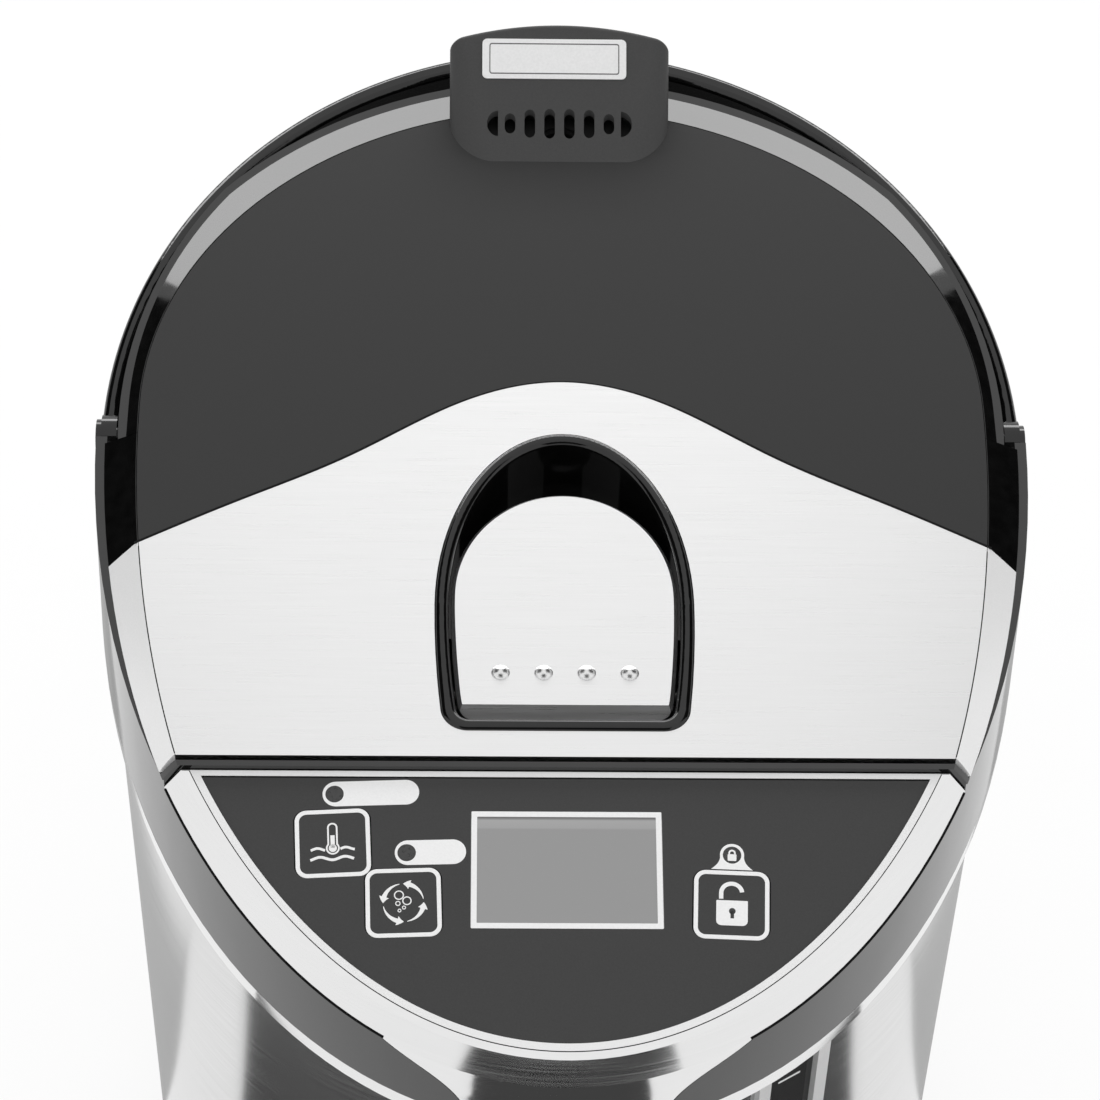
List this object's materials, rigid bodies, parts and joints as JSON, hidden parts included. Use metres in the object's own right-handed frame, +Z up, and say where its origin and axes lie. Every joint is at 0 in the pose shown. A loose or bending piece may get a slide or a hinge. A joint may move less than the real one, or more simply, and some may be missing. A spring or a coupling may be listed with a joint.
{
  "type": "hot water dispenser",
  "caption": "Electric hot water dispenser: steel body, egg-shaped head with sloped key panel and spout nose, hinged lid with release lever and steam vent, water gauge, folding handle.",
  "frame": {"origin": "on the table under the middle of the whole part, level with the underside of the feet", "axes": "+Z up; -Y to the front where the panel and the spout nose are; +X to the right of a person facing the front"},
  "size_m": [0.216, 0.2857, 0.3152],
  "materials": {
    "steel": "brushed",
    "chrome": "polished",
    "black_gloss": "gloss",
    "black_matte": "matte",
    "dark_satin": "satin",
    "panel_grey": "satin",
    "key_grey": "satin",
    "silver_plastic": "satin silver",
    "pale_plastic": "matte",
    "display": "satin",
    "rubber": "matte",
    "silicone": "matte",
    "clear": "clear",
    "smoked": "clear",
    "brass": "plain",
    "aluminium": "cast",
    "board": "matte"
  },
  "bodies": {
    "pot": {"feet": "rubber", "base_plate": "black_matte", "base_screws": "steel", "base_ring": "black_gloss", "outer_shell": "steel", "inner_tank": "steel", "heater_plate": "aluminium", "thermostats": "pale_plastic", "temperature_sensor": "brass", "pump_body": "pale_plastic", "pump_motor": "steel", "suction_tube": "silicone", "riser_tube": "clear", "outlet_tube": "silicone", "spout_nozzle": "black_gloss", "nose_floor": "black_matte", "gauge_frame": "silver_plastic", "gauge_window": "clear", "power_inlet": "black_matte", "inlet_pins": "brass", "power_board": "board", "collar": "black_gloss", "collar_strip": "chrome", "front_trim": "chrome", "panel_membrane": "panel_grey", "lcd_window": "smoked", "lcd_module": "display", "indicator_lenses": "pale_plastic", "control_board": "board", "key_switches": "black_matte", "handle_pins": "black_gloss", "latch_keeper": "steel", "hinge_bracket": "black_matte", "cup_lever_pin": "steel", "cup_switch": "black_matte"},
    "lid": {"lid_rim": "black_gloss", "lid_rim_corners": "black_gloss", "lid_front_trim": "silver_plastic", "lid_top_plate": "dark_satin", "lid_front_plate": "steel", "lid_frame": "black_matte", "lever_cup": "black_gloss", "lever_pin": "steel", "lid_inner_plate": "steel", "lid_gasket": "silicone", "steam_duct": "black_matte", "vent_hood": "dark_satin", "label_plate": "pale_plastic", "hinge_pin": "steel"},
    "handle": {"handle": "black_gloss"},
    "lever": {"lever_plate": "steel"},
    "bolt": {"latch_bolt": "black_matte"},
    "key_setting": {"button_setting": "key_grey"},
    "key_reboil": {"button_reboil": "key_grey"},
    "key_lock": {"button_lock": "key_grey"},
    "cup_arm": {"cup_lever": "black_gloss"},
    "impeller": {"pump_impeller": "pale_plastic"},
    "valve": {"spill_valve": "silicone"}
  },
  "joints": [
    {"name": "lid_open", "type": "hinge", "parent": "pot", "child": "lid", "pos_m": [0, 0.1255, 0.302], "axis": [-1, 0, 0], "range_deg": [0, 85]},
    {"name": "handle_raise", "type": "hinge", "parent": "pot", "child": "handle", "pos_m": [0, 0.0235, 0.2799], "axis": [1, 0, 0], "range_deg": [0, 84]},
    {"name": "lever_lift", "type": "hinge", "parent": "lid", "child": "lever", "pos_m": [0, -0.0545, 0.28195], "axis": [1, 0, 0], "range_deg": [0, 18], "stiffness_Nm_per_rad": 0.08, "springref_deg": -5.73},
    {"name": "bolt_slide", "type": "slide", "parent": "lid", "child": "bolt", "axis": [0, 1, 0], "range_m": [0, 0.0027]},
    {"name": "key_setting_press", "type": "slide", "parent": "pot", "child": "key_setting", "axis": [0, 0.1908, -0.9816], "range_m": [0, 0.0005], "stiffness_N_per_m": 600, "springref_m": -0.0005},
    {"name": "key_reboil_press", "type": "slide", "parent": "pot", "child": "key_reboil", "axis": [0, 0.1908, -0.9816], "range_m": [0, 0.0005], "stiffness_N_per_m": 600, "springref_m": -0.0005},
    {"name": "key_lock_press", "type": "slide", "parent": "pot", "child": "key_lock", "axis": [0, 0.1908, -0.9816], "range_m": [0, 0.0005], "stiffness_N_per_m": 600, "springref_m": -0.0005},
    {"name": "cup_arm_push", "type": "hinge", "parent": "pot", "child": "cup_arm", "pos_m": [0, -0.0975, 0.204], "axis": [1, 0, 0], "range_deg": [0, 8], "stiffness_Nm_per_rad": 0.05, "springref_deg": -2.86},
    {"name": "pump_spin", "type": "hinge", "parent": "pot", "child": "impeller", "pos_m": [0, -0.0525, 0.048], "axis": [0, 0, 1], "continuous": true},
    {"name": "valve_lift", "type": "slide", "parent": "lid", "child": "valve", "axis": [0, 0, 1], "range_m": [0, 0.003]}
  ],
  "couplings": [
    {"joint": "bolt_slide", "follows": "lever_lift", "m_per_rad": 0.0079}
  ]
}
